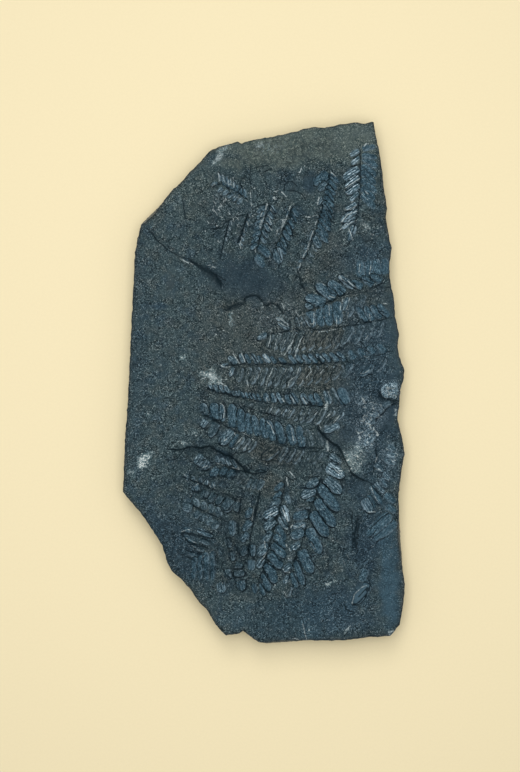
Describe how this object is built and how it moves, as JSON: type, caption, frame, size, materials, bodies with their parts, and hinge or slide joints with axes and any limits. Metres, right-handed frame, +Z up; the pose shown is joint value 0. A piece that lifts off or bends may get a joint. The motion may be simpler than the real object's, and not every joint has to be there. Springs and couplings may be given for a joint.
{
  "type": "fossil alethopteris fern",
  "caption": "Flat slab of dark slate with seed fern fronds in low relief on its upper face, broken edges all round.",
  "frame": {"origin": "bottom centre of the bounding box, at the level the slab rests on", "axes": "+Z up out of the fern face, +Y along the slab's long side towards the end with the single small frond, +X to the right seen from above"},
  "size_m": [0.1298, 0.24, 0.0137],
  "materials": {
    "slate": "dark blue-grey slate, finely speckled, satin silvery film on the fern, paler broken edges"
  },
  "bodies": {
    "root": {"fossil_slab": "slate"}
  },
  "joints": []
}
